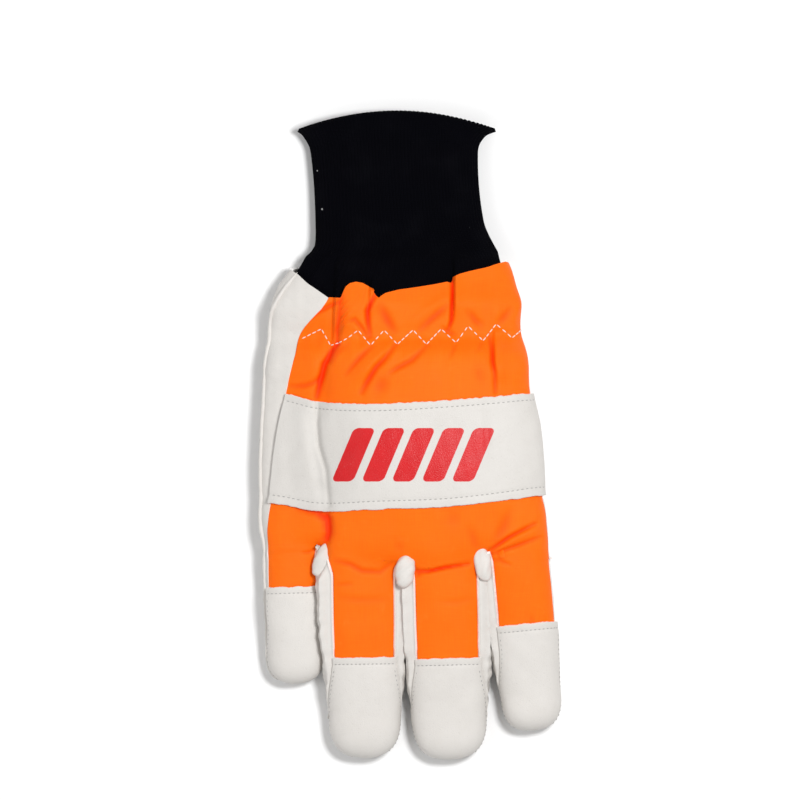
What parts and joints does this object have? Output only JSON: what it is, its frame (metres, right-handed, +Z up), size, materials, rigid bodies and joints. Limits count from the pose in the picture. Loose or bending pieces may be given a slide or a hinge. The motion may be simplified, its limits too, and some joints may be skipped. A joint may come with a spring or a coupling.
{
  "type": "chainsaw glove",
  "caption": "Padded work glove lying palm down: cloth back gathered at the wrist, leather palm, knuckle strap, fingertip caps and thumb, ribbed knit cuff.",
  "frame": {"origin": "bottom centre of the bounding box, on the surface the glove lies on", "axes": "+X across the hand from the little finger to the index finger, +Y from the fingertips to the cuff's mouth, +Z up out of the back of the hand"},
  "size_m": [0.1318, 0.2844, 0.0419],
  "materials": {
    "knit": "black ribbed knit, matte",
    "cloth": "high visibility orange woven cloth, slight sheen",
    "leather": "off white grain leather, matte"
  },
  "bodies": {
    "root": {"knit_cuff": "knit", "back_panel_upper": "cloth", "back_panel_lower": "cloth", "knuckle_strap": "leather", "palm_leather": "leather", "fingertip_cap_little": "leather", "fingertip_cap_ring": "leather", "fingertip_cap_middle": "leather", "fingertip_cap_index": "leather", "fourchette_little_ring": "leather", "fourchette_ring_middle": "leather", "fourchette_middle_index": "leather", "thumb_back": "leather", "thumb_front": "leather"}
  },
  "joints": []
}
